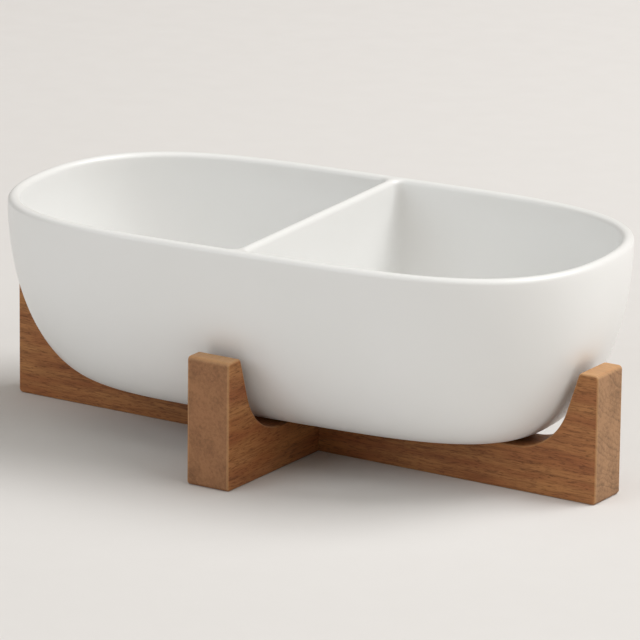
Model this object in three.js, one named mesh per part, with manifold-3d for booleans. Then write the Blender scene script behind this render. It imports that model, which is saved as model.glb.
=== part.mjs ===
// A chip and dip server: an oval ceramic bowl with a wall across its middle, cradled by a
// wooden stand of two rails that cross in a halving joint.
// Millimetres, +Z up. The origin is on the table under the middle of the stand, +X runs along
// the long rail and +Y along the cross rail.
import * as THREE from "three";
import { mergeVertices } from "three/addons/utils/BufferGeometryUtils.js";
import Module from "manifold-3d";

// ---------------------------------------------------------------- driving dimensions

// The bowl.
const bowlLength = 284; // over the rim, the long way
const bowlWidth = 150.2; // over the rim, the short way
const bowlHeight = 84.3; // from the foot to the top of the lip
const wallThickness = 4.9;
const floorThickness = 6;
const footInset = 41; // how far the wall sweeps in between the rim and the flat foot
const sideStraightness = 4.25; // outline |x/a|^4.25 + |y/b|^2.34 = 1: nearly straight sides
const endRoundness = 2.34; // and full, round ends

// The wall between the two wells.
const dividerThickness = 4.6; // at its round top
const dividerDrop = 0.4; // the top of the divider below the top of the lip
const dividerDraft = 1.5; // degrees that each face leans, thicker towards the floor
const dividerFillet = 6; // at the floor

// The stand.
const railThickness = 21.4;
const railHeight = 20; // the level stretch that the bowl stands on
const uprightHeight = 57.5;
const uprightTop = 9.3; // flat top of each upright, measured along its rail
const flankLean = 18; // degrees off vertical, the inner face of each upright
const cradleRadius = 27; // between an upright's inner face and the level stretch
const cornerRound = 1.8; // rounded corners of each rail's outline
const edgeRound = 1; // eased edges along it

// How the pieces fit.
const cradleGap = 5.4; // from the bowl's wall to the top of each upright
const seatGap = 0.3; // under the foot
const jointGap = 0.3; // on each face of the halving joint
const bowlTurn = 3.9; // degrees: the bowl stands a little askew, as its play in the cradle lets it
const bowlShift = 2; // and a little towards the +X end

// Fineness of the curved surfaces.
const stepsAround = 72;
const stepsUpWall = 13;
const stepsOverLip = 6;
const stepsPerCorner = 10;

// ---------------------------------------------------------------- worked out from them

const halfLength = bowlLength / 2;
const halfWidth = bowlWidth / 2;
const lipRadius = wallThickness / 2;
const wallTop = bowlHeight - lipRadius; // where the wall ends and the round lip begins
const footHalfLength = halfLength - footInset;
const footHalfWidth = halfWidth - footInset;
const seatHeight = railHeight + seatGap;

// The wall's section is a quarter of an ellipse: upright at the rim, level at the foot.
function wallInset(height) {
  const below = (wallTop - height) / wallTop;
  return footInset * (1 - Math.sqrt(1 - below * below));
}

const insetAtUprights = wallInset(uprightHeight - seatHeight);
const uprightReach = cradleGap + uprightTop - insetAtUprights;
const standLength = 2 * (halfLength + uprightReach);
const standWidth = 2 * (halfWidth + uprightReach);

// ---------------------------------------------------------------- solids

const wasm = await Module();
wasm.setup();

function toSolid(geometry) {
  const bare = geometry.clone();
  bare.deleteAttribute("normal");
  bare.deleteAttribute("uv");
  const merged = mergeVertices(bare, 1e-4);
  return new wasm.Manifold(
    new wasm.Mesh({
      numProp: 3,
      vertProperties: new Float32Array(merged.attributes.position.array),
      triVerts: new Uint32Array(merged.index.array),
    }),
  );
}

function toGeometry(solid) {
  const mesh = solid.getMesh();
  const geometry = new THREE.BufferGeometry();
  geometry.setAttribute("position", new THREE.BufferAttribute(mesh.vertProperties, 3));
  geometry.setIndex(new THREE.BufferAttribute(mesh.triVerts, 1));
  geometry.computeVertexNormals();
  return geometry;
}

// A box from its lowest to its highest corner.
function block(low, high) {
  const size = high.map((value, axis) => value - low[axis]);
  const middle = high.map((value, axis) => (value + low[axis]) / 2);
  return toSolid(new THREE.BoxGeometry(...size).translate(...middle));
}

// ---------------------------------------------------------------- the bowl

// Turns a round lathe into the bowl's oval. A ring of radius r becomes an oval r wide to each
// side; outside the foot it is longer than it is wide by the same amount at every height, so
// the wall has one section all round, and inside the foot the rings shrink to the middle.
function ovalLathe(profile) {
  const geometry = new THREE.LatheGeometry(profile, stepsAround);
  const position = geometry.attributes.position;
  for (let i = 0; i < position.count; i++) {
    const radius = Math.hypot(position.getX(i), position.getZ(i));
    const angle = Math.atan2(position.getX(i), position.getZ(i));
    const height = position.getY(i);
    const reach =
      radius >= footHalfWidth
        ? radius + halfLength - halfWidth
        : (radius * footHalfLength) / footHalfWidth;
    const along = Math.cos(angle);
    const across = Math.pow(
      1 - Math.pow(Math.min(1, Math.abs(along)), sideStraightness),
      1 / endRoundness,
    );
    position.setXYZ(i, reach * along, radius * Math.sign(Math.sin(angle)) * across, height);
  }
  return geometry;
}

// Points down a quarter of an ellipse, from the rim at angle 0 to the floor at angle 90.
// inset is how far in from the rim's outline it starts, and floor is the height it ends at.
function wallSection(inset, floor) {
  const points = [];
  for (let i = 0; i <= stepsUpWall; i++) {
    const angle = (i / stepsUpWall) * (Math.PI / 2);
    const inwards = footInset - (footInset - inset) * Math.cos(angle);
    const height = wallTop - (wallTop - floor) * Math.sin(angle);
    points.push(new THREE.Vector2(halfWidth - inwards, height));
  }
  return points;
}

// The round lip, from the outer face over the top to the inner face.
function lipSection() {
  const points = [];
  for (let i = 1; i < stepsOverLip; i++) {
    const angle = (i / stepsOverLip) * Math.PI;
    const inwards = lipRadius - lipRadius * Math.cos(angle);
    const height = wallTop + lipRadius * Math.sin(angle);
    points.push(new THREE.Vector2(halfWidth - inwards, height));
  }
  return points;
}

function shell() {
  const outside = wallSection(0, 0).reverse();
  const inside = wallSection(wallThickness, floorThickness);
  return toSolid(
    ovalLathe([
      new THREE.Vector2(0, 0),
      ...outside,
      ...lipSection(),
      ...inside,
      new THREE.Vector2(0, floorThickness),
    ]),
  );
}

// Everything inside the middle of the wall's thickness: what the divider is trimmed to.
function insideOfWall() {
  const outside = wallSection(wallThickness / 2, floorThickness / 2).reverse();
  const above = bowlHeight + 1;
  return toSolid(
    ovalLathe([
      new THREE.Vector2(0, floorThickness / 2),
      ...outside,
      new THREE.Vector2(halfWidth - wallThickness / 2, above),
      new THREE.Vector2(0, above),
    ]),
  );
}

// The divider's section, with its round top, drafted faces and fillets at the floor.
function dividerSolid() {
  const topRadius = dividerThickness / 2;
  const topCentre = bowlHeight - dividerDrop - topRadius;
  const draft = THREE.MathUtils.degToRad(dividerDraft);
  const filletTop = floorThickness + dividerFillet;
  const faceAtFillet = topRadius + (topCentre - filletTop) * Math.tan(draft);
  const section = new THREE.Shape();
  section.moveTo(-faceAtFillet - dividerFillet, 0);
  section.lineTo(faceAtFillet + dividerFillet, 0);
  section.lineTo(faceAtFillet + dividerFillet, floorThickness);
  section.absarc(
    faceAtFillet + dividerFillet,
    filletTop,
    dividerFillet,
    -Math.PI / 2,
    -Math.PI,
    true,
  );
  section.absarc(0, topCentre, topRadius, draft, Math.PI - draft, false);
  section.lineTo(-faceAtFillet, filletTop);
  section.absarc(-faceAtFillet - dividerFillet, filletTop, dividerFillet, 0, -Math.PI / 2, true);
  const length = 2 * halfWidth;
  const wall = new THREE.ExtrudeGeometry(section, {
    depth: length,
    bevelEnabled: false,
    curveSegments: stepsOverLip,
  });
  wall.rotateX(Math.PI / 2).translate(0, length / 2, 0);
  return toSolid(wall).intersect(insideOfWall());
}

function dividedBowl() {
  return toGeometry(shell().add(dividerSolid()));
}

// ---------------------------------------------------------------- the stand

// A closed outline through corners {x, y, round}, each rounded by an arc of its own radius.
function roundedShape(corners) {
  const shape = new THREE.Shape();
  corners.forEach((corner, i) => {
    const here = new THREE.Vector2(corner.x, corner.y);
    const before = corners[(i + corners.length - 1) % corners.length];
    const after = corners[(i + 1) % corners.length];
    const arriving = here.clone().sub(before).normalize();
    const leaving = new THREE.Vector2(after.x, after.y).sub(here).normalize();
    const turn = Math.atan2(arriving.cross(leaving), arriving.dot(leaving));
    const side = Math.sign(turn);
    const start = here.clone().addScaledVector(arriving, -corner.round * Math.tan(Math.abs(turn) / 2));
    const centre = new THREE.Vector2(-arriving.y, arriving.x)
      .multiplyScalar(side * corner.round)
      .add(start);
    const from = Math.atan2(start.y - centre.y, start.x - centre.x);
    if (i === 0) shape.moveTo(start.x, start.y);
    shape.absarc(centre.x, centre.y, corner.round, from, from + turn, side < 0);
  });
  shape.closePath();
  return shape;
}

// One rail, lying along X with its middle at the origin and its underside on the table.
function railSolid(length) {
  const end = length / 2;
  const innerTop = end - uprightTop;
  const lean = Math.tan(THREE.MathUtils.degToRad(flankLean));
  const innerFoot = innerTop - (uprightHeight - railHeight) * lean;
  const half = [
    { x: end, y: 0, round: cornerRound },
    { x: end, y: uprightHeight, round: cornerRound },
    { x: innerTop, y: uprightHeight, round: cornerRound },
    { x: innerFoot, y: railHeight, round: cradleRadius },
  ];
  const mirrored = half.map((corner) => ({ ...corner, x: -corner.x })).reverse();
  const rail = new THREE.ExtrudeGeometry(roundedShape([...half, ...mirrored]), {
    depth: railThickness - 2 * edgeRound,
    bevelThickness: edgeRound,
    bevelSize: edgeRound,
    bevelOffset: -edgeRound,
    bevelSegments: 2,
    curveSegments: stepsPerCorner,
  });
  rail.rotateX(Math.PI / 2).translate(0, railThickness / 2 - edgeRound, 0);
  return toSolid(rail);
}

const slotHalf = railThickness / 2 + jointGap;
const lapHeight = railHeight / 2;

// The long rail is slotted from above, and the cross rail from below, to half their height.
function longRail() {
  const slot = block(
    [-slotHalf, -railThickness, lapHeight - jointGap / 2],
    [slotHalf, railThickness, uprightHeight],
  );
  return toGeometry(railSolid(standLength).subtract(slot));
}

function crossRail() {
  const slot = block(
    [-slotHalf, -railThickness, -railHeight],
    [slotHalf, railThickness, lapHeight + jointGap / 2],
  );
  return toGeometry(railSolid(standWidth).subtract(slot));
}

// ---------------------------------------------------------------- the assembly

const glaze = new THREE.MeshStandardMaterial({ color: 0xe8e8e5, roughness: 0.3, metalness: 0 });
const acacia = new THREE.MeshStandardMaterial({ color: 0x9a6842, roughness: 0.62, metalness: 0 });

function piece(name, geometry, material) {
  const mesh = new THREE.Mesh(geometry, material);
  mesh.name = name;
  return mesh;
}

const long = piece("long_rail", longRail(), acacia);

const cross = piece("cross_rail", crossRail(), acacia.clone());
cross.rotation.z = Math.PI / 2;

const bowl = piece("divided_bowl", dividedBowl(), glaze);
bowl.position.set(bowlShift, 0, seatHeight);
bowl.rotation.z = THREE.MathUtils.degToRad(bowlTurn);

const stand = new THREE.Group();
stand.add(long, cross);

const server = new THREE.Group();
server.add(stand, bowl);

export default server;
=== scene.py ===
# %% [markdown]
# # A chip and dip server in stoneware and acacia
#
# The real object is an oval glazed bowl with a wall across its middle, so that it holds two
# things at once. It stands in a wooden cradle of two rails that cross in a halving joint.
# Only three pieces are made: the bowl and the two rails. They lift off one another.
#
# A imported model of the same object comes first. It is plain, but it says exactly where each
# piece is, so every piece below is built around it: the bowl takes its place from it, and the
# rails their sizes.

from math import atan2, cos, pi, radians, sin, tan

import bmesh
import bpy
from mathutils import Matrix, Vector


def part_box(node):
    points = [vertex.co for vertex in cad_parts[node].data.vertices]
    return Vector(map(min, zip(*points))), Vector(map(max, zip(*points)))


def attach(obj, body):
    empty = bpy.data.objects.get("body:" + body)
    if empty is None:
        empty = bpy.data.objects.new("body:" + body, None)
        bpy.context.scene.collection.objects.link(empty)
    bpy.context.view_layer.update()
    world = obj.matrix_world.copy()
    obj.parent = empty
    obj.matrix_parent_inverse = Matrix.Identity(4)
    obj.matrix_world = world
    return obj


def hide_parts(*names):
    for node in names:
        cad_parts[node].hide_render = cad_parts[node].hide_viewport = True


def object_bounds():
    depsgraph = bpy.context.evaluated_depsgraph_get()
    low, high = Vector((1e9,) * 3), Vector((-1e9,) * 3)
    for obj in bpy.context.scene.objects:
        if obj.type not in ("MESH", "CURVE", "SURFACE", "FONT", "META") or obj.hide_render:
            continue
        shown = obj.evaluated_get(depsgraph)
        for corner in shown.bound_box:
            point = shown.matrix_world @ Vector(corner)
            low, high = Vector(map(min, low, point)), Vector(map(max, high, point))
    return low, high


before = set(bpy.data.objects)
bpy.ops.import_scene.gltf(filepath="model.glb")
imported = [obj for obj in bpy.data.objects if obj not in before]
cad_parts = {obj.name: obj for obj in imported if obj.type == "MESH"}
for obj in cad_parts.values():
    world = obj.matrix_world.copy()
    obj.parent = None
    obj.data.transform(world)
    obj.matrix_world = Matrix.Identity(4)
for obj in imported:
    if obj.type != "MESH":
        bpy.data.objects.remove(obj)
packed_low, packed_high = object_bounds()
MM = 0.001
print("size in mm:", [round(side / MM, 1) for side in packed_high - packed_low])

# %% [markdown]
# ## The camera
#
# A server is pictured from a few paces away with a long lens, which keeps its near and far
# ends the same size. The camera below stands 32 degrees round from the front and 16 degrees
# up. Its three directions are worked out from those angles, because a "track to"
# constraint would hide them, and it couldn't give the slight tilt that a hand-held view has.

# %% Place the camera
AZIMUTH = radians(32.2)
ELEVATION = radians(15.93)
TILT = radians(0.65)
LENS_MM = 323.5
DISTANCE = 2.5218
AIM_RIGHT = 3.3 * MM
AIM_UP = 3.2 * MM

back = Vector((sin(AZIMUTH) * cos(ELEVATION), -cos(AZIMUTH) * cos(ELEVATION), sin(ELEVATION)))
level = Vector((cos(AZIMUTH), sin(AZIMUTH), 0))
upright = back.cross(level)
right = level * cos(TILT) + upright * sin(TILT)
up = upright * cos(TILT) - level * sin(TILT)

camera = bpy.data.objects.new("camera", bpy.data.cameras.new("camera"))
camera.data.lens = LENS_MM
camera.data.clip_end = 100
middle = (packed_low + packed_high) / 2
camera.matrix_world = Matrix.Translation(
    middle + right * AIM_RIGHT + up * AIM_UP + back * DISTANCE
) @ Matrix((right, up, back)).transposed().to_4x4()
bpy.context.scene.collection.objects.link(camera)
bpy.context.scene.camera = camera
print("camera at", [round(x, 3) for x in camera.matrix_world.translation])

# %% [markdown]
# ## Sums that build their own nodes
#
# Both the shape of the bowl and the look of the wood follow rules with a good deal of
# arithmetic. Wired by hand that would be hundreds of Math nodes. Instead one small class
# wraps a node's output, so that an ordinary Python sum such as `1 - mask` adds its node to
# the tree. It serves shader trees and geometry trees alike, since both have the Math node.

# %% Wrap a socket
class Wire:
    """One output of a node, which can stand in a sum."""

    def __init__(self, tree, socket=None):
        self.tree = tree
        self.socket = socket

    def node(self, kind, settings=None, inputs=None, output=0):
        """Adds a node: first its settings, then the value or the link of each socket."""
        made = self.tree.nodes.new(kind)
        for name, value in (settings or {}).items():
            if name == "stops":
                while len(made.color_ramp.elements) < len(value):
                    made.color_ramp.elements.new(1)
                for element, (position, colour) in zip(made.color_ramp.elements, value):
                    element.position = position
                    element.color = colour
            else:
                setattr(made, name, value)
        for name, value in (inputs or {}).items():
            for one in value if isinstance(value, list) else [value]:
                if isinstance(one, Wire):
                    self.tree.links.new(one.socket, made.inputs[name])
                else:
                    made.inputs[name].default_value = one
        return Wire(self.tree, made.outputs[output])

    def math(self, operation, *values):
        return self.node("ShaderNodeMath", {"operation": operation}, dict(enumerate(values)))

    def __add__(self, other):
        return self.math("ADD", self, other)

    def __sub__(self, other):
        return self.math("SUBTRACT", self, other)

    def __rsub__(self, other):
        return self.math("SUBTRACT", other, self)

    def __mul__(self, other):
        return self.math("MULTIPLY", self, other)

    def __truediv__(self, other):
        return self.math("DIVIDE", self, other)

    def __rtruediv__(self, other):
        return self.math("DIVIDE", other, self)

    def __pow__(self, other):
        return self.math("POWER", self, other)

    __radd__ = __add__
    __rmul__ = __mul__


# %% Name the sums that come up often
def cosine(angle):
    return angle.math("COSINE", angle)


def sine(angle):
    return angle.math("SINE", angle)


def root(value):
    return value.math("SQRT", value)


def least(value, limit):
    return value.math("MINIMUM", value, limit)


def most(value, limit):
    return value.math("MAXIMUM", value, limit)


def share(value):
    """The value kept between 0 and 1."""
    return value.node("ShaderNodeClamp", {}, {"Value": value})


def between(a, b, amount):
    """A number that goes from a to b as amount goes from 0 to 1."""
    return a + (b - a) * amount


# %% [markdown]
# ## The bowl
#
# The bowl follows a rule, so Geometry Nodes make it. Seen from above, the rim is a full oval
# with nearly straight sides: |x/a|^4.25 + |y/b|^2.34 = 1. In section, the wall is the same
# quarter of an ellipse all round, upright at the rim and level at the foot, with a round lip.
#
# The dividing wall is not a slab pushed through the bowl. On cast stoneware it flows into the
# wall and the floor with soft fillets. So each well is made as one skin, from the middle of
# its floor, up the sides and over the lip. Each ring of that skin is a D: straight along
# the divider, round in the corner, then along the oval. The same ring serves at every height,
# with other numbers. A boolean could join a plain wall to a plain bowl, but its corners
# would stay sharp.
#
# The bowl is the same left and right, front and back. So the rule makes one quarter, and two
# mirrors make the rest.

# %% The bowl's sizes
BOWL_SIZES = {
    "Length": 284 * MM,
    "Width": 150.2 * MM,
    "Height": 84.3 * MM,
    "Wall": 4.9 * MM,
    "Floor": 6 * MM,
    "Foot Inset": 41 * MM,  # how far the wall sweeps in from the rim to the foot
    "Side Straightness": 4.25,
    "End Roundness": 2.34,
    "Divider": 4.6 * MM,
    "Divider Drop": 0.4 * MM,  # its top is this much below the lip
    "Divider Draft": radians(1.5),
    "Divider Fillet": 6 * MM,  # where it meets the floor
    "Corner Fillet": 4.5 * MM,  # where it meets the wall
    "Corner Fillet At Floor": 11 * MM,
    "Foot Ring": 5 * MM,
    "Foot Recess": 0.9 * MM,
}
FOOT_BEVEL = 1.2 * MM  # from the foot ring up to the recess
GLAZE_LINE = 0.15 * MM  # the glaze stops this far above the table

# %% [markdown]
# A band of the bowl is a flat grid whose points a rule moves into place. The grid's columns
# go round the quarter: straight along the divider, then round the corner, then along the oval
# to the end of the bowl. Its rows go from one ring to the next.

# %% Start the bowl's tree
STRAIGHT_STEPS = 14
CORNER_STEPS = 8
OVAL_STEPS = 56
CORNER_END = STRAIGHT_STEPS + CORNER_STEPS
ALL_STEPS = CORNER_END + OVAL_STEPS

bowl_tree = bpy.data.node_groups.new("divided_bowl_rule", "GeometryNodeTree")
bowl_tree.interface.new_socket("Geometry", in_out="OUTPUT", socket_type="NodeSocketGeometry")
size_sockets = {
    name: bowl_tree.interface.new_socket(name, in_out="INPUT", socket_type="NodeSocketFloat")
    for name in BOWL_SIZES
}
size_sockets["Glaze"] = bowl_tree.interface.new_socket(
    "Glaze", in_out="INPUT", socket_type="NodeSocketMaterial"
)
start = Wire(bowl_tree)
given = bowl_tree.nodes.new("NodeGroupInput")
size = {name: Wire(bowl_tree, given.outputs[name]) for name in size_sockets}
print(len(size), "inputs to the bowl's rule")


# %% One band from one grid
def band(first_column, last_column, rows, rule, bare=None):
    """A grid from first_column to last_column with rows steps, moved into place by rule.

    Every rule takes how far a point is through the rows, the straight, the corner and the
    oval, each from 0 to 1. bare takes how far it is through the rows, and its height.
    """
    grid = start.node(
        "GeometryNodeMeshGrid",
        {},
        {
            "Size X": 1.0,
            "Size Y": 1.0,
            "Vertices X": last_column - first_column + 1,
            "Vertices Y": rows + 1,
        },
    )
    flat = start.node("GeometryNodeInputPosition")
    across = start.node("ShaderNodeSeparateXYZ", {}, {"Vector": flat}, "X")
    along = start.node("ShaderNodeSeparateXYZ", {}, {"Vector": flat}, "Y")
    column = (across + 0.5) * (last_column - first_column) + first_column
    steps = (
        share(column / STRAIGHT_STEPS),
        share((column - STRAIGHT_STEPS) / CORNER_STEPS),
        share((column - CORNER_END) / OVAL_STEPS),
    )
    x, y, z = rule(along + 0.5, *steps)
    if bare:
        grid = start.node(
            "GeometryNodeStoreNamedAttribute",
            {"data_type": "FLOAT", "domain": "POINT"},
            {"Geometry": grid, "Name": "bare_clay", "Value": bare(along + 0.5, z)},
        )
    place = start.node("ShaderNodeCombineXYZ", {}, {"X": x, "Y": y, "Z": z})
    return start.node("GeometryNodeSetPosition", {}, {"Geometry": grid, "Position": place})


# %% [markdown]
# Two rings are needed. The D-shaped ring runs round a well, and the oval ring runs round the
# outside. They share their points along the lip, which is how the two skins join there.

# %% The two rings
half_length = size["Length"] / 2
half_width = size["Width"] / 2
lip_radius = size["Wall"] / 2
divider_radius = size["Divider"] / 2
wall_top = size["Height"] - lip_radius
divider_top = size["Height"] - size["Divider Drop"] - divider_radius
foot_half_length = half_length - size["Foot Inset"]
foot_half_width = half_width - size["Foot Inset"]
crest_corner = size["Corner Fillet"] + lip_radius


def oval_side(x, reach, radius):
    """How far out the oval is at x."""
    inside = most(1 - least(x / reach, 1.0) ** size["Side Straightness"], 0.0)
    return radius * inside ** (1 / size["End Roundness"])


def oval_along(corner_start, reach, sweep):
    """x along the oval, from where the corner ends to the end of the bowl."""
    opening = reach.math("ARCCOSINE", corner_start / reach)
    return reach * cosine(opening * (1 - sweep))


def well_ring(reach, radius, face, corner, straight, turn, sweep):
    """A point of the D: face is how far the divider's face is from its middle."""
    angle = turn * (pi / 2)
    oval_x = oval_along(face + corner, reach, sweep)
    corner_y = oval_side(face + corner, reach, radius)
    x = oval_x - corner * cosine(angle)
    y = straight * (corner_y - corner) + corner * sine(angle)
    return x, y + oval_side(oval_x, reach, radius) - corner_y


def outer_ring(reach, radius, turn, sweep):
    """A point of the plain oval, in step with the D at the top of the lip."""
    oval_x = oval_along(crest_corner, reach, sweep)
    x = oval_x - crest_corner * cosine(turn * (pi / 2))
    return x, oval_side(x, reach, radius)


# %% The inside of a well
def divider_face(z):
    """Half the divider's thickness at a height, with its draft and its fillet at the floor."""
    fillet = size["Divider Fillet"]
    fillet_top = size["Floor"] + fillet
    dip = share((fillet_top - z) / fillet)
    drafted = (divider_top - most(z, fillet_top)) * start.math("TANGENT", size["Divider Draft"])
    return divider_radius + drafted + fillet * (1 - root(most(1 - dip * dip, 0.0)))


def well_floor(row, straight, turn, sweep):
    centre = (foot_half_length + size["Divider Fillet"]) / 2
    x, y = well_ring(
        foot_half_length,
        foot_half_width,
        divider_face(size["Floor"]),
        size["Corner Fillet At Floor"],
        straight,
        turn,
        sweep,
    )
    return between(centre, x, row), y * row, size["Floor"]


def well_side(row, straight, turn, sweep):
    angle = (1 - row) * (pi / 2)
    inset = size["Foot Inset"] - (size["Foot Inset"] - size["Wall"]) * cosine(angle)
    top = between(divider_top, wall_top, turn)
    z = top - (top - size["Floor"]) * sine(angle)
    corner = between(size["Corner Fillet"], size["Corner Fillet At Floor"], sine(angle) ** 4)
    x, y = well_ring(
        half_length - inset, half_width - inset, divider_face(z), corner, straight, turn, sweep
    )
    return x, y, z


def well_lip(row, straight, turn, sweep):
    angle = row * (pi / 2)
    rise = between(divider_radius, lip_radius, turn) * sine(angle)
    inset = size["Wall"] - lip_radius * (1 - cosine(angle))
    corner = size["Corner Fillet"] + lip_radius * (1 - cosine(angle))
    x, y = well_ring(
        half_length - inset,
        half_width - inset,
        divider_radius * cosine(angle),
        corner,
        straight,
        turn,
        sweep,
    )
    return x, y, between(divider_top, wall_top, turn) + rise


# %% [markdown]
# The two wells' round corners leave a small three-cornered flat between them and the lip,
# where the divider flares into the rim. It gets a band of its own.

# %% The flare, the outside and the foot
def divider_flare(row, straight, turn, sweep):
    reach, radius = half_length - lip_radius, half_width - lip_radius
    x, low_y = well_ring(reach, radius, 0.0, crest_corner, straight, turn, sweep)
    high_y = oval_side(x, reach, radius)
    low_z = between(divider_top + divider_radius, wall_top + lip_radius, turn)
    return x, between(low_y, high_y, row), between(low_z, wall_top + lip_radius, row)


def outer_lip(row, straight, turn, sweep):
    angle = row * (pi / 2)
    inset = lip_radius * (1 - sine(angle))
    x, y = outer_ring(half_length - inset, half_width - inset, turn, sweep)
    return x, y, wall_top + lip_radius * cosine(angle)


def outer_side(row, straight, turn, sweep):
    angle = row * (pi / 2)
    inset = size["Foot Inset"] * (1 - cosine(angle))
    x, y = outer_ring(half_length - inset, half_width - inset, turn, sweep)
    return x, y, wall_top * (1 - sine(angle))


def under_foot(row, straight, turn, sweep):
    travelled = row * foot_half_width
    offset = least(travelled, size["Foot Ring"] + FOOT_BEVEL)
    shrink = 1 - (travelled - offset) / (foot_half_width - size["Foot Ring"] - FOOT_BEVEL)
    x, y = outer_ring(foot_half_length - offset, foot_half_width - offset, turn, sweep)
    z = size["Foot Recess"] * share((travelled - size["Foot Ring"]) / FOOT_BEVEL)
    return x * shrink, y * shrink, z


# %% [markdown]
# The potter wipes the glaze off the foot ring, so that the bowl doesn't stick to the kiln
# shelf. The rule writes where that is to an attribute, `bare_clay`, that the glaze will read.

# %% Join the bands, mirror them and end the tree
def bare_side(row, z):
    return 1 - share(z / GLAZE_LINE)


def bare_foot(row, z):
    return 1 - share((row * foot_half_width - size["Foot Ring"]) / FOOT_BEVEL)


FLOOR_ROWS = 9
WALL_ROWS = 40
LIP_ROWS = 6
FLARE_ROWS = 3
FOOT_ROWS = 30
quarter = [
    band(0, ALL_STEPS, FLOOR_ROWS, well_floor),
    band(0, ALL_STEPS, WALL_ROWS, well_side),
    band(0, ALL_STEPS, LIP_ROWS, well_lip),
    band(STRAIGHT_STEPS, CORNER_END, FLARE_ROWS, divider_flare),
    band(STRAIGHT_STEPS, ALL_STEPS, LIP_ROWS, outer_lip),
    band(STRAIGHT_STEPS, ALL_STEPS, WALL_ROWS, outer_side, bare_side),
    band(STRAIGHT_STEPS, ALL_STEPS, FOOT_ROWS, under_foot, bare_foot),
]
JOIN_WITHIN = 0.02 * MM


def joined(parts):
    """Several meshes as one, with the points that meet made one point."""
    together = start.node("GeometryNodeJoinGeometry", {}, {"Geometry": parts})
    return start.node(
        "GeometryNodeMergeByDistance", {}, {"Geometry": together, "Distance": JOIN_WITHIN}
    )


def with_mirror(part, scale):
    """A mesh and its mirror image. A mirror turns the faces inside out, so they are flipped."""
    image = start.node("GeometryNodeTransform", {}, {"Geometry": part, "Scale": scale})
    return joined([part, start.node("GeometryNodeFlipFaces", {}, {"Mesh": image})])


whole = with_mirror(with_mirror(joined(quarter), (-1, 1, 1)), (1, -1, 1))
smooth = start.node("GeometryNodeSetShadeSmooth", {}, {"Geometry": whole})
real = start.node("GeometryNodeRealizeInstances", {}, {"Geometry": smooth})
glazed = start.node(
    "GeometryNodeSetMaterial", {}, {"Geometry": real, "Material": size["Glaze"]}
)
result = bowl_tree.nodes.new("NodeGroupOutput")
bowl_tree.links.new(glazed.socket, result.inputs[0])
print(len(bowl_tree.nodes), "nodes in the bowl's rule")

# %% [markdown]
# ## The glaze
#
# The glaze is a thick warm white, satin more than glossy: it shows the light as a soft bright
# line on the lip and never as a hard reflection. Under the light its colour drifts a little
# where it ran thicker or thinner, and its surface has the faint ripple that a sprayed glaze
# keeps. The Principled shader does this with a fairly low roughness and no coat. On the foot
# ring the bare clay shows: darker, warmer and dry.


# %% Tools for the finishes
def new_finish(name):
    """A material with an empty Principled shader. Returns it, its shader and a first wire."""
    material = bpy.data.materials.new(name)
    material.use_nodes = True
    shader = material.node_tree.nodes["Principled BSDF"]
    return material, shader, Wire(material.node_tree)


def noise(vector, scale, detail=2.0, roughness=0.5):
    return vector.node(
        "ShaderNodeTexNoise",
        {},
        {"Vector": vector, "Scale": scale, "Detail": detail, "Roughness": roughness},
    )


def tint(amount, first, second):
    """The colour first where amount is 0 and second where it is 1."""
    return amount.node(
        "ShaderNodeMix", {"data_type": "RGBA"}, {0: amount, 6: first, 7: second}, 2
    )


def ramp(value, *stops):
    """A number that follows the value through the stops, each (value, result)."""
    marks = [(position, (grey, grey, grey, 1)) for position, grey in stops]
    return value.node("ShaderNodeValToRGB", {"stops": marks}, {"Fac": value})


def relief(height, strength, distance):
    """A normal with a relief that is distance deep."""
    return height.node(
        "ShaderNodeBump", {}, {"Height": height, "Strength": strength, "Distance": distance}
    )


def connect(wire, shader, name):
    wire.tree.links.new(wire.socket, shader.inputs[name])


# %% The satin white glaze
THIN_GLAZE = (0.82, 0.825, 0.81, 1)
THICK_GLAZE = (0.85, 0.85, 0.845, 1)
DARK_CLAY = (0.48, 0.40, 0.31, 1)
PALE_CLAY = (0.62, 0.54, 0.44, 1)


def satin_glaze():
    """Glaze, with bare clay on the foot ring. The noises' scales are waves per metre."""
    material, shader, first = new_finish("satin_white_glaze")
    place = first.node("ShaderNodeTexCoord", {}, {}, "Object")
    drift = noise(place, 22, 3)
    cloud = noise(place, 90, 4)
    ripple = noise(place, 260, 2)
    speck = noise(place, 900, 1)
    bare = first.node("ShaderNodeAttribute", {"attribute_name": "bare_clay"}, {}, "Fac")
    bare = ramp(bare + (cloud - 0.5) * 0.5, (0.45, 0), (0.55, 1))
    glaze = tint(drift, THIN_GLAZE, THICK_GLAZE)
    clay = tint(speck, DARK_CLAY, PALE_CLAY)
    connect(tint(bare, glaze, clay), shader, "Base Color")
    connect(between(0.27 + cloud * 0.1, 0.85, bare), shader, "Roughness")
    depth = ripple * 0.6 + speck * bare
    connect(relief(depth, 0.25, 0.03 * MM), shader, "Normal")
    shader.inputs["IOR"].default_value = 1.5
    return material


glaze_finish = satin_glaze()
print("glaze:", len(glaze_finish.node_tree.nodes), "nodes")

# %% [markdown]
# The rule's inputs are set by each socket's identifier, before the object is first looked at.
# Then the evaluated result is copied out as a plain mesh, and the modifier goes.
#
# A bowl set down by hand is never quite square in its cradle. This one is turned about four
# degrees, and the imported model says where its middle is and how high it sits.


# %% Make the bowl
def plain_mesh(maker, name):
    """The finished mesh of an object with modifiers. The maker is removed."""
    graph = bpy.context.evaluated_depsgraph_get()
    mesh = bpy.data.meshes.new_from_object(maker.evaluated_get(graph), depsgraph=graph)
    mesh.name = name
    bpy.data.objects.remove(maker)
    return mesh


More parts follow.
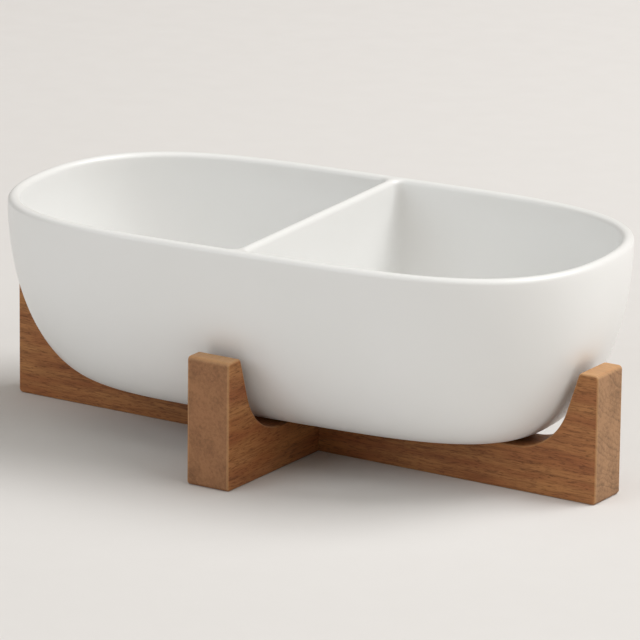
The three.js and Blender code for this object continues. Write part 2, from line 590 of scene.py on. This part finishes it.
def show(mesh, name, body, node):
    """The mesh as a piece of the object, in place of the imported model's plain node."""
    piece = bpy.data.objects.new(name, mesh)
    bpy.context.scene.collection.objects.link(piece)
    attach(piece, body)
    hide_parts(node)
    low = Vector(map(min, *(v.co for v in mesh.vertices)))
    high = Vector(map(max, *(v.co for v in mesh.vertices)))
    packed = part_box(node)
    off = max(abs(a - b) for a, b in zip((*low, *high), (*packed[0], *packed[1]))) / MM
    print(f"{name}: {len(mesh.polygons)} faces, its box is {off:.2f} mm off the packed one")


BOWL_TURN = radians(3.9)

maker = bpy.data.objects.new("bowl_maker", bpy.data.meshes.new("bowl_maker"))
bpy.context.scene.collection.objects.link(maker)
modifier = maker.modifiers.new("divided_bowl_rule", "NODES")
modifier.node_group = bowl_tree
for name, value in {**BOWL_SIZES, "Glaze": glaze_finish}.items():
    modifier[size_sockets[name].identifier] = value
bowl_mesh = plain_mesh(maker, "glazed_bowl")
bowl_low, bowl_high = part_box("divided_bowl")
bowl_middle = (bowl_low + bowl_high) / 2
seat = Vector((bowl_middle.x, bowl_middle.y, bowl_low.z))
bowl_mesh.transform(Matrix.Translation(seat) @ Matrix.Rotation(BOWL_TURN, 4, "Z"))
show(bowl_mesh, "glazed_bowl", "bowl", "divided_bowl")

# %% Check that the bowl is closed
shape = bmesh.new()
shape.from_mesh(bowl_mesh)
open_edges = [e for e in shape.edges if not e.is_manifold]
print("open edges:", len(open_edges))
print("volume in cm3:", round(shape.calc_volume() / (10 * MM) ** 3, 1))
shape.free()

# %% [markdown]
# ## The rails
#
# Each rail is sawn from one board of acacia, 21 mm thick: a level stretch that the bowl
# stands on, and an upright at each end whose inner face sweeps up in a 27 mm arc and leans
# back 18 degrees. The edges are eased with sandpaper. The long rail is slotted from above
# and the cross rail from below, each to half its height, so that they cross flush.
#
# A rail is a flat outline with a thickness, so the outline is drawn from its corners, each
# turned by an arc, and pulled out to the board's thickness. A Bevel modifier then eases the
# edges. It works by edge weight, because an angle limit would round the slot too, and a
# joiner leaves that crisp.

# %% The rails' sizes
RAIL_HEIGHT = 20 * MM
UPRIGHT_TOP = 9.3 * MM
FLANK_LEAN = radians(18)
CRADLE_RADIUS = 27 * MM
CORNER_ROUND = 1.8 * MM
EDGE_ROUND = 1.0 * MM
EDGE_STEPS = 4
JOINT_GAP = 0.3 * MM
ARC_STEPS = 28  # in a quarter turn of a wide arc
SMALL_ARC = 10 * MM  # an arc up to this radius needs fewer steps
SMALL_ARC_SHARE = 0.3
FEWEST_STEPS = 4


# %% Draw a rail's outline
def rounded(corners):
    """The outline's points, with each corner (x, z, radius) turned by an arc."""
    points = []
    for i, (x, z, radius) in enumerate(corners):
        here = Vector((x, z))
        if radius == 0:
            points.append(here)
            continue
        before = Vector(corners[i - 1][:2])
        after = Vector(corners[(i + 1) % len(corners)][:2])
        arriving = (here - before).normalized()
        leaving = (after - here).normalized()
        turn = atan2(arriving.x * leaving.y - arriving.y * leaving.x, arriving.dot(leaving))
        side = 1 if turn > 0 else -1
        first = here - arriving * radius * tan(abs(turn) / 2)
        centre = first + Vector((-arriving.y, arriving.x)) * side * radius
        fineness = 1 if radius > SMALL_ARC else SMALL_ARC_SHARE
        steps = max(FEWEST_STEPS, round(ARC_STEPS * abs(turn) / (pi / 2) * fineness))
        for step in range(steps + 1):
            spoke = Matrix.Rotation(turn * step / steps, 2) @ (first - centre)
            points.append(centre + spoke)
    return points


def rail_outline(length, height, thickness, slot_from_above):
    """One rail from the side, counter-clockwise from its lower right corner."""
    end = length / 2
    inner_top = end - UPRIGHT_TOP
    inner_foot = inner_top - (height - RAIL_HEIGHT) * tan(FLANK_LEAN)
    slot = thickness / 2 + JOINT_GAP
    rise = [
        (end, 0, CORNER_ROUND),
        (end, height, CORNER_ROUND),
        (inner_top, height, CORNER_ROUND),
        (inner_foot, RAIL_HEIGHT, CRADLE_RADIUS),
    ]
    other_rise = [(-x, z, radius) for x, z, radius in reversed(rise)]
    if slot_from_above:
        bottom = (RAIL_HEIGHT - JOINT_GAP) / 2
        notch = [(slot, RAIL_HEIGHT), (slot, bottom), (-slot, bottom), (-slot, RAIL_HEIGHT)]
        return rounded([*rise, *((x, z, 0) for x, z in notch), *other_rise])
    top = (RAIL_HEIGHT + JOINT_GAP) / 2
    notch = [(-slot, 0), (-slot, top), (slot, top), (slot, 0)]
    return rounded([*rise, *other_rise, *((x, z, 0) for x, z in notch)])


# %% [markdown]
# The wood's finish needs to know three things that the shape knows best: which faces show end
# grain, because the saw crossed the fibres there, which are the sanded edges, and which are
# the tops of the uprights. Edges and tops are painted lighter: partly for paler sanded wood
# and oil worn thin, and partly as painted highlight and sheen where light from above catches
# them. All three are written to the mesh as attributes.


# %% Turn an outline into a board
def on_a_broad_side(face):
    return abs(face.normal.y) > 0.9


def board(name, length, height, thickness, slot_from_above, quarter_turn):
    """A rail along x, or along y after a quarter turn, with its sawn edges eased."""
    outline = rail_outline(length, height, thickness, slot_from_above)
    shape = bmesh.new()
    front = [shape.verts.new((p.x, -thickness / 2, p.y)) for p in outline]
    face = shape.faces.new(front)
    pulled = bmesh.ops.extrude_face_region(shape, geom=[face])
    moved = [v for v in pulled["geom"] if isinstance(v, bmesh.types.BMVert)]
    bmesh.ops.translate(shape, verts=moved, vec=(0, thickness, 0))
    bmesh.ops.recalc_face_normals(shape, faces=shape.faces)
    weight = shape.edges.layers.float.new("bevel_weight_edge")
    slot = thickness / 2 + 1.1 * JOINT_GAP
    for edge in shape.edges:
        halfway = (edge.verts[0].co + edge.verts[1].co) / 2
        in_slot = abs(halfway.x) < slot and 1 * MM < halfway.z < RAIL_HEIGHT + EDGE_ROUND
        broad = [on_a_broad_side(face) for face in edge.link_faces]
        edge[weight] = float(any(broad) and not all(broad) and not in_slot)
    for face in shape.faces:
        face.smooth = True
    mesh = bpy.data.meshes.new(name)
    shape.to_mesh(mesh)
    shape.free()
    if quarter_turn:
        mesh.transform(Matrix.Rotation(pi / 2, 4, "Z"))
    maker = bpy.data.objects.new(name, mesh)
    bpy.context.scene.collection.objects.link(maker)
    ease = maker.modifiers.new("eased_edges", "BEVEL")
    ease.limit_method = "WEIGHT"
    ease.width = EDGE_ROUND
    ease.segments = EDGE_STEPS
    ease.use_clamp_overlap = False
    flatten = maker.modifiers.new("flat_faces_stay_flat", "WEIGHTED_NORMAL")
    flatten.keep_sharp = True
    return plain_mesh(maker, name)


def mark_grain(mesh, fibre, across):
    """Writes how far each face is cut across the fibres, and which are edges and tops."""
    end_grain = mesh.attributes.new("end_grain", "FLOAT", "FACE")
    eased = mesh.attributes.new("eased_edge", "FLOAT", "FACE")
    worn_and_sheen = mesh.attributes.new("worn_top", "FLOAT", "FACE")
    for face in mesh.polygons:
        lean = abs(face.normal.dot(across))
        on_an_upright = face.center.z > 2 * RAIL_HEIGHT
        end_grain.data[face.index].value = abs(face.normal.dot(fibre))
        eased.data[face.index].value = float(0.1 < lean < 0.98)
        # Painted sheen: faces that look up, high on an upright, are marked to be painted paler,
        # partly for worn oil and partly for light from above.
        worn_and_sheen.data[face.index].value = max(0.0, face.normal.z) * on_an_upright


# %% [markdown]
# ## The acacia
#
# A board is cut from a tree, and it shows on every side. Growth rings are cylinders round the
# pith. On the long faces they come out as nearly straight lines, and on the ends as arcs. If
# the rings are made in space, as cylinders, each face shows the right cut of them on its own,
# and the grain runs on round the edges. So the pattern is built from the distance to the
# pith, in millimetres, with the board's length along x.
#
# On top of the rings go long fibres, which are noise stretched along the board, dark pores,
# which are much shorter and thinner, and slow bands of redder and more golden wood, which
# keep to the rings. On the sawn ends the fibres are seen from their tips, so the rings and a
# fine mottle are all that is left. The two boards come from different parts of the tree, and
# the long rail's rings show the more.


# %% The wood's colours
RED_WOOD = (0.33, 0.115, 0.038, 1)
GOLDEN_WOOD = (0.45, 0.20, 0.068, 1)
DARK_FIBRE = (0.13, 0.042, 0.013, 1)
DARK_PORE = (0.085, 0.028, 0.010, 1)
# The colour of the eased edges: partly paler sanded wood, partly a painted highlight where the
# rounding catches the light.
SANDED_EDGE_AND_HIGHLIGHT = (0.58, 0.33, 0.15, 1)
# The colour of the tops of the uprights: partly worn oil, partly a painted sheen of light from
# above.
WORN_AND_SHEEN_TOP = (0.66, 0.40, 0.20, 1)


# %% The oiled acacia
def oiled_acacia(name, turn, shift, pith, rings_apart, ring_strength, sawn_light):
    """The finish of one board.

    turn brings the board's length to x, and shift picks another part of the tree. pith is
    where the middle of the tree is, as y and z, and rings_apart is the growth of a year,
    all in millimetres. ring_strength is how dark the rings are, and sawn_light is the
    colour of the pale wood at the sawn ends.
    """
    material, shader, first = new_finish(name)
    place = first.node("ShaderNodeTexCoord", {}, {}, "Object")
    place = first.node(
        "ShaderNodeMapping",
        {},
        {"Vector": place, "Rotation": (0, 0, turn), "Scale": (1 / MM,) * 3},
    )

    def grain(along, across, detail=2.0, roughness=0.5, move=0.0):
        """Noise with so many waves per millimetre along the board and across it."""
        stretched = place.node(
            "ShaderNodeMapping",
            {},
            {
                "Vector": place,
                "Location": tuple(s + move for s in shift),
                "Scale": (along, across, across),
            },
        )
        return noise(stretched, 1.0, detail, roughness)

    y = place.node("ShaderNodeSeparateXYZ", {}, {"Vector": place}, "Y")
    z = place.node("ShaderNodeSeparateXYZ", {}, {"Vector": place}, "Z")
    # A tree isn't quite round or straight, so the distance to its pith wavers.
    from_pith_y = y - pith[0] + (grain(0.012, 0.04) - 0.5) * 9
    from_pith_z = z - pith[1] + (grain(0.05, 0.12, move=7) - 0.5) * 4
    distance = root(from_pith_y * from_pith_y + from_pith_z * from_pith_z)
    ring = distance / rings_apart + grain(0.01, 0.08, move=3) * 2.5
    year = ring.math("FLOOR", ring)
    # Each ring darkens towards its late wood, then ends at once.
    within = ring - year
    late = within**2.5 * (1 - share((within - 0.85) / 0.15))
    vigour = first.node(
        "ShaderNodeTexWhiteNoise", {"noise_dimensions": "1D"}, {"W": year}, "Value"
    )
    late = late * (0.25 + 0.75 * vigour) * ring_strength
    tone = first.node(
        "ShaderNodeTexNoise",
        {"noise_dimensions": "1D"},
        {"W": distance + shift[0], "Scale": 0.13, "Detail": 1.0},
    )

    patch = grain(0.025, 0.08, move=11)
    fibre = grain(0.05, 0.85, 4, 0.6, move=5)
    hair = grain(0.12, 3.0, 3, 0.6, move=9)
    pore = ramp(grain(0.3, 2.2, 2, 0.6, move=13), (0.52, 0), (0.68, 1))
    mottle = grain(0.75, 0.75, 4, 0.7, move=17)
    smudge = grain(0.1, 0.1, 2, move=19)

    end = first.node("ShaderNodeAttribute", {"attribute_name": "end_grain"}, {}, "Fac")
    end = ramp(end, (0.55, 0), (0.9, 1))
    eased = first.node("ShaderNodeAttribute", {"attribute_name": "eased_edge"}, {}, "Fac")
    worn_and_sheen = first.node("ShaderNodeAttribute", {"attribute_name": "worn_top"}, {}, "Fac")

    golden = share(0.5 + (tone - 0.5) * 2.4 + (patch - 0.5) * 2.2)
    wood = tint(golden, RED_WOOD, GOLDEN_WOOD)
    dark = late * 0.4 + (fibre - 0.5) * 2.0 + (hair - 0.5) * 1.2
    wood = tint(share(dark + 0.12), wood, DARK_FIBRE)
    wood = tint(pore * 0.6, wood, DARK_PORE)
    rough_end = late * 0.85 + (mottle - 0.5) * 2.0 + (smudge - 0.45) * 1.6 + 0.15
    sawn_dark = tuple(0.5 * part for part in sawn_light[:3]) + (1,)
    sawn = tint(share(rough_end), sawn_light, sawn_dark)
    wood = tint(end * 0.92, wood, sawn)
    # Painted highlight and wear: the eased edges are painted paler, partly for sanded wood and
    # partly for the light they catch.
    wood = tint(eased * 0.35, wood, SANDED_EDGE_AND_HIGHLIGHT)
    # Painted sheen and wear: the tops of the uprights are painted paler, partly for oil worn
    # thin and partly as light falling from above.
    wood = tint(worn_and_sheen * 0.6, wood, WORN_AND_SHEEN_TOP)
    connect(wood, shader, "Base Color")
    dryness = 0.5 + (fibre - 0.5) * 0.3 + end * 0.15 + pore * 0.1
    connect(share(dryness), shader, "Roughness")
    height = hair * 0.5 + fibre * 0.4 - pore * 0.5
    connect(relief(height, 0.3, 0.08 * MM), shader, "Normal")
    shader.inputs["Specular IOR Level"].default_value = 0.3
    return material


acacia_long = oiled_acacia(
    "oiled_acacia_long",
    turn=0,
    shift=(0, 0, 0),
    pith=(30, 85),
    rings_apart=2.3,
    ring_strength=1.0,
    sawn_light=(0.41, 0.235, 0.125, 1),
)
acacia_cross = oiled_acacia(
    "oiled_acacia_cross",
    turn=-pi / 2,
    shift=(31, 17, 5),
    pith=(38, -20),
    rings_apart=2.6,
    ring_strength=0.35,
    sawn_light=(0.35, 0.17, 0.08, 1),
)
print("acacia:", len(acacia_long.node_tree.nodes), "nodes each")

# %% Make the two rails
FIBRE = {"long_rail": Vector((1, 0, 0)), "cross_rail": Vector((0, 1, 0))}
for node, finish in (("long_rail", acacia_long), ("cross_rail", acacia_cross)):
    low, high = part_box(node)
    sides = high - low
    across = Vector((0, 0, 1)).cross(FIBRE[node])
    mesh = board(
        "acacia_" + node,
        length=abs(sides.dot(FIBRE[node])),
        height=sides.z,
        thickness=abs(sides.dot(across)),
        slot_from_above=node == "long_rail",
        quarter_turn=node == "cross_rail",
    )
    mark_grain(mesh, FIBRE[node], across)
    mesh.materials.clear()
    mesh.materials.append(finish)
    show(mesh, "acacia_" + node, node, node)

# %% [markdown]
# ## The floor and the light
#
# The floor is one large pale disc, so wide that its edge is never seen from any side. Far out
# its colour is painted a little lighter: painted light, standing in for the extra light that a
# paper sweep gets there.
#
# The light is what a studio sets for white stoneware. A big soft lamp, high on the right and
# behind, lights the lip and the right end, leaves the front in a calm half shade and throws
# the shadow to the front left. Three weak lamps and a warm dim sky fill that half shade.

# %% Floor
FLOOR_RADIUS = 12.0
FLOOR_NEAR = (0.72, 0.705, 0.69, 1)
FLOOR_FAR = (0.84, 0.825, 0.815, 1)
FLOOR_MOTTLE = (0.64, 0.62, 0.60, 1)
LIGHTER_ROUND = (0.1, -0.3, 0)  # the floor gets lighter away from this point,
LIGHTER_FROM = 0.4  # from this far out
LIGHTER_OVER = 0.9  # and over this much more

shape = bmesh.new()
bmesh.ops.create_circle(shape, cap_ends=True, segments=96, radius=FLOOR_RADIUS)
floor_mesh = bpy.data.meshes.new("floor")
shape.to_mesh(floor_mesh)
shape.free()
floor = bpy.data.objects.new("floor", floor_mesh)
bpy.context.scene.collection.objects.link(floor)
floor_finish, floor_shader, first = new_finish("pale_floor")
place = first.node("ShaderNodeTexCoord", {}, {}, "Object")
away = place.node(
    "ShaderNodeVectorMath", {"operation": "DISTANCE"}, {0: place, 1: LIGHTER_ROUND}, 1
)
# Painted light: the floor's colour turns lighter away from LIGHTER_ROUND, for the extra light a
# paper sweep gets far out.
pale = tint(share((away - LIGHTER_FROM) / LIGHTER_OVER), FLOOR_NEAR, FLOOR_FAR)
pale = tint(noise(place, 60, 3) * 0.2, pale, FLOOR_MOTTLE)
connect(pale, floor_shader, "Base Color")
floor_shader.inputs["Roughness"].default_value = 0.9
floor_shader.inputs["Specular IOR Level"].default_value = 0.1
floor_mesh.materials.append(floor_finish)
print("floor:", 2 * FLOOR_RADIUS, "m across")

# %% Light
SKY_STRENGTH = 0.32
WARM_SKY = (1.0, 0.91, 0.79, 1)
WHITE = (1, 1, 1)
COOL = (0.93, 1.0, 1.07)

world = bpy.data.worlds.new("soft_sky")
world.use_nodes = True
sky = world.node_tree.nodes["Background"]
sky.inputs["Color"].default_value = WARM_SKY
sky.inputs["Strength"].default_value = SKY_STRENGTH
bpy.context.scene.world = world


def soft_lamp(name, azimuth, elevation, distance, across, watts, colour=WHITE):
    """A square lamp that faces the object, azimuth counted round from +x."""
    data = bpy.data.lights.new(name, "AREA")
    data.size = across
    data.energy = watts
    data.color = colour
    lamp = bpy.data.objects.new(name, data)
    a, e = radians(azimuth), radians(elevation)
    away = Vector((cos(a) * cos(e), sin(a) * cos(e), sin(e)))
    lamp.location = middle + away * distance
    lamp.rotation_mode = "QUATERNION"
    lamp.rotation_quaternion = away.to_track_quat("Z", "Y")
    bpy.context.scene.collection.objects.link(lamp)


soft_lamp("key_softbox", azimuth=34, elevation=54, distance=3.2, across=2.0, watts=82)
soft_lamp("overhead", azimuth=-90, elevation=80, distance=2.4, across=2.2, watts=4.5)
soft_lamp(
    "front_fill", azimuth=-114, elevation=24, distance=2.6, across=1.6, watts=16.5, colour=COOL
)
soft_lamp("side_fill", azimuth=-10, elevation=35, distance=2.6, across=1.0, watts=8)
bpy.context.scene.view_settings.view_transform = "Standard"
print("lamps:", len(bpy.data.lights))
